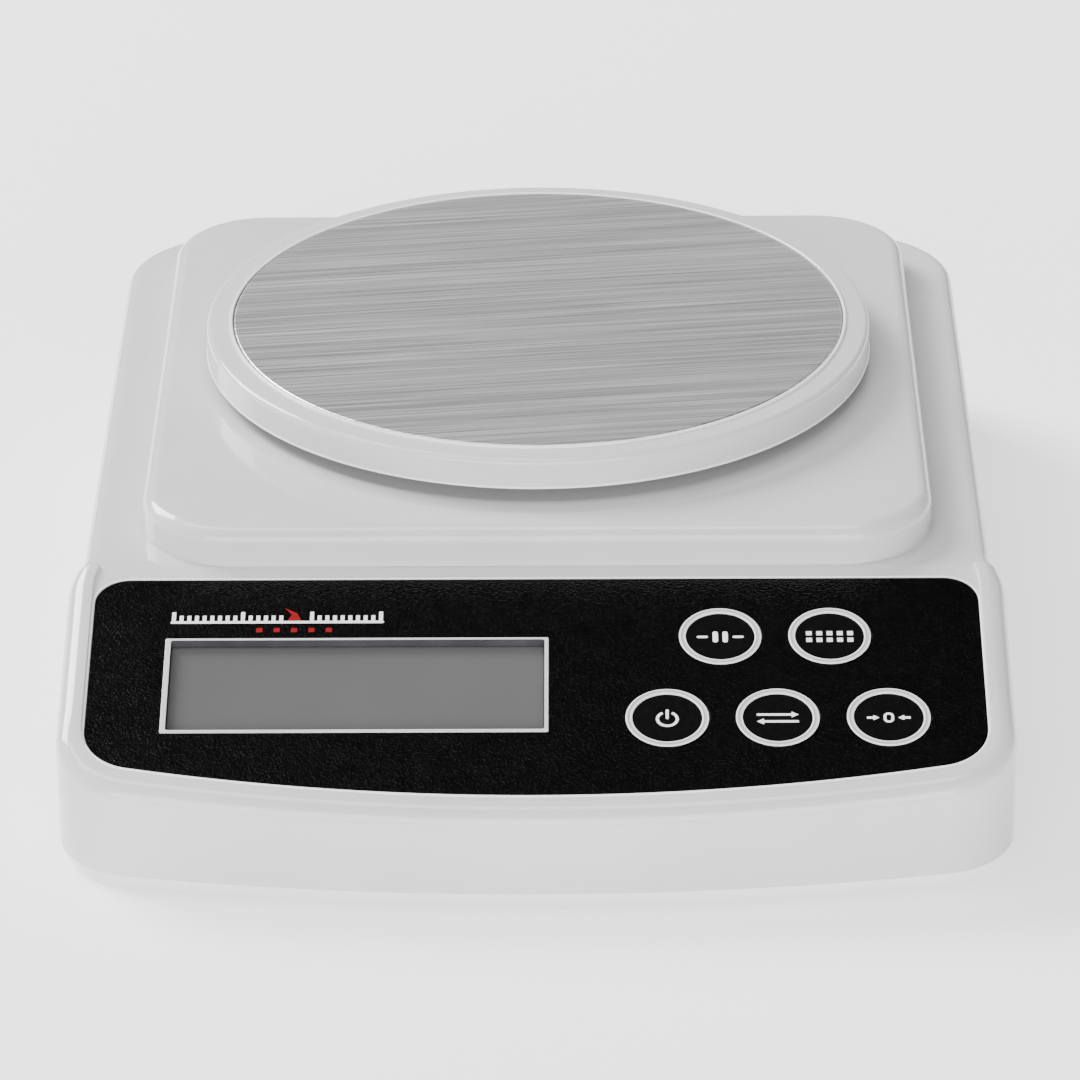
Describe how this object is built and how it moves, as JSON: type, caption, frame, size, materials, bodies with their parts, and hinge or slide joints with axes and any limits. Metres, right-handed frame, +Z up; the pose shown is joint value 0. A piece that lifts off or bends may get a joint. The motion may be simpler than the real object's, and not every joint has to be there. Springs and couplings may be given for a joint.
{
  "type": "counting scale",
  "caption": "Bench counting scale with a round steel pan on a raised deck and a sloping black panel with a display window and round keys.",
  "frame": {"origin": "middle of the footprint, on the surface that the feet stand on", "axes": "+Z up, +Y towards the back, +X to the user's right; the panel faces -Y"},
  "size_m": [0.193, 0.244, 0.0582],
  "materials": {
    "white_plastic": "glossy off-white moulding",
    "black_sheet": "black printed polyester with a fine grain",
    "dark_plastic": "moulded",
    "display_glass": "grey reflective liquid crystal glass",
    "rubber": "moulded, matte",
    "brushed_steel": "long straight brushing",
    "zinc_steel": "zinc plated",
    "aluminium": "milled and cast",
    "board_green": "solder mask",
    "cell_wrap": "plain shrink wrap",
    "cable_grey": "PVC sheath"
  },
  "bodies": {
    "case": {"upper_housing": "white_plastic", "lower_housing": "white_plastic", "lcd_holder": "white_plastic", "load_cell_plug": "white_plastic", "panel_overlay": "black_sheet", "lcd_glass": "display_glass", "circuit_board": "board_green", "converter_chip": "dark_plastic", "load_cell": "aluminium", "overload_stop_screw": "zinc_steel", "battery_contact_front": "zinc_steel", "battery_contact_rear": "zinc_steel", "load_cell_cable": "cable_grey", "battery_lead": "cable_grey", "elastomer_strip_upper": "rubber", "elastomer_strip_lower": "rubber", "rubber_foot_front_left": "rubber", "case_screw_front_left": "zinc_steel", "rubber_foot_front_right": "rubber", "case_screw_front_right": "zinc_steel", "rubber_foot_rear_left": "rubber", "case_screw_rear_left": "zinc_steel", "rubber_foot_rear_right": "rubber", "case_screw_rear_right": "zinc_steel", "board_screw_upper_left": "zinc_steel", "board_screw_upper_right": "zinc_steel", "board_screw_lower_left": "zinc_steel", "board_screw_lower_right": "zinc_steel", "switch_hold": "dark_plastic", "switch_pieces": "dark_plastic", "switch_power": "dark_plastic", "switch_mode": "dark_plastic", "switch_tare": "dark_plastic", "aa_cell_1": "cell_wrap", "battery_spring_1": "zinc_steel", "aa_cell_2": "cell_wrap", "battery_spring_2": "zinc_steel", "aa_cell_3": "cell_wrap", "battery_spring_3": "zinc_steel", "aa_cell_4": "cell_wrap", "battery_spring_4": "zinc_steel", "base_screw_outer": "zinc_steel", "base_screw_inner": "zinc_steel"},
    "load_platform": {"spider": "aluminium", "spider_spacer": "aluminium", "spider_screw_inner": "zinc_steel", "spider_screw_outer": "zinc_steel", "rubber_pad_front_left": "rubber", "rubber_pad_front_right": "rubber", "rubber_pad_rear_left": "rubber", "rubber_pad_rear_right": "rubber"},
    "pan": {"pan_carrier": "white_plastic", "pan_plate": "brushed_steel"},
    "battery_cover": {"battery_cover": "white_plastic"},
    "key_hold": {"key_hold": "black_sheet"},
    "key_pieces": {"key_pieces": "black_sheet"},
    "key_power": {"key_power": "black_sheet"},
    "key_mode": {"key_mode": "black_sheet"},
    "key_tare": {"key_tare": "black_sheet"}
  },
  "joints": [
    {"name": "weigh_travel", "type": "slide", "parent": "case", "child": "load_platform", "axis": [0, 0, -1], "range_m": [0, 0.0004], "stiffness_N_per_m": 20000, "springref_m": -0.00015, "deforming": ["load_cell"]},
    {"name": "pan_lift", "type": "slide", "parent": "load_platform", "child": "pan", "axis": [0, 0, 1], "range_m": [0, 0.03]},
    {"name": "battery_cover_hinge", "type": "hinge", "parent": "case", "child": "battery_cover", "pos_m": [0, 0.0167, 0.0025], "axis": [1, 0, 0], "range_deg": [0, 60]},
    {"name": "key_hold_press", "type": "slide", "parent": "case", "child": "key_hold", "axis": [0, 0.2588, -0.9659], "range_m": [0, 0.0006], "stiffness_N_per_m": 1500, "springref_m": -0.0003},
    {"name": "key_pieces_press", "type": "slide", "parent": "case", "child": "key_pieces", "axis": [0, 0.2588, -0.9659], "range_m": [0, 0.0006], "stiffness_N_per_m": 1500, "springref_m": -0.0003},
    {"name": "key_power_press", "type": "slide", "parent": "case", "child": "key_power", "axis": [0, 0.2588, -0.9659], "range_m": [0, 0.0006], "stiffness_N_per_m": 1500, "springref_m": -0.0003},
    {"name": "key_mode_press", "type": "slide", "parent": "case", "child": "key_mode", "axis": [0, 0.2588, -0.9659], "range_m": [0, 0.0006], "stiffness_N_per_m": 1500, "springref_m": -0.0003},
    {"name": "key_tare_press", "type": "slide", "parent": "case", "child": "key_tare", "axis": [0, 0.2588, -0.9659], "range_m": [0, 0.0006], "stiffness_N_per_m": 1500, "springref_m": -0.0003}
  ]
}
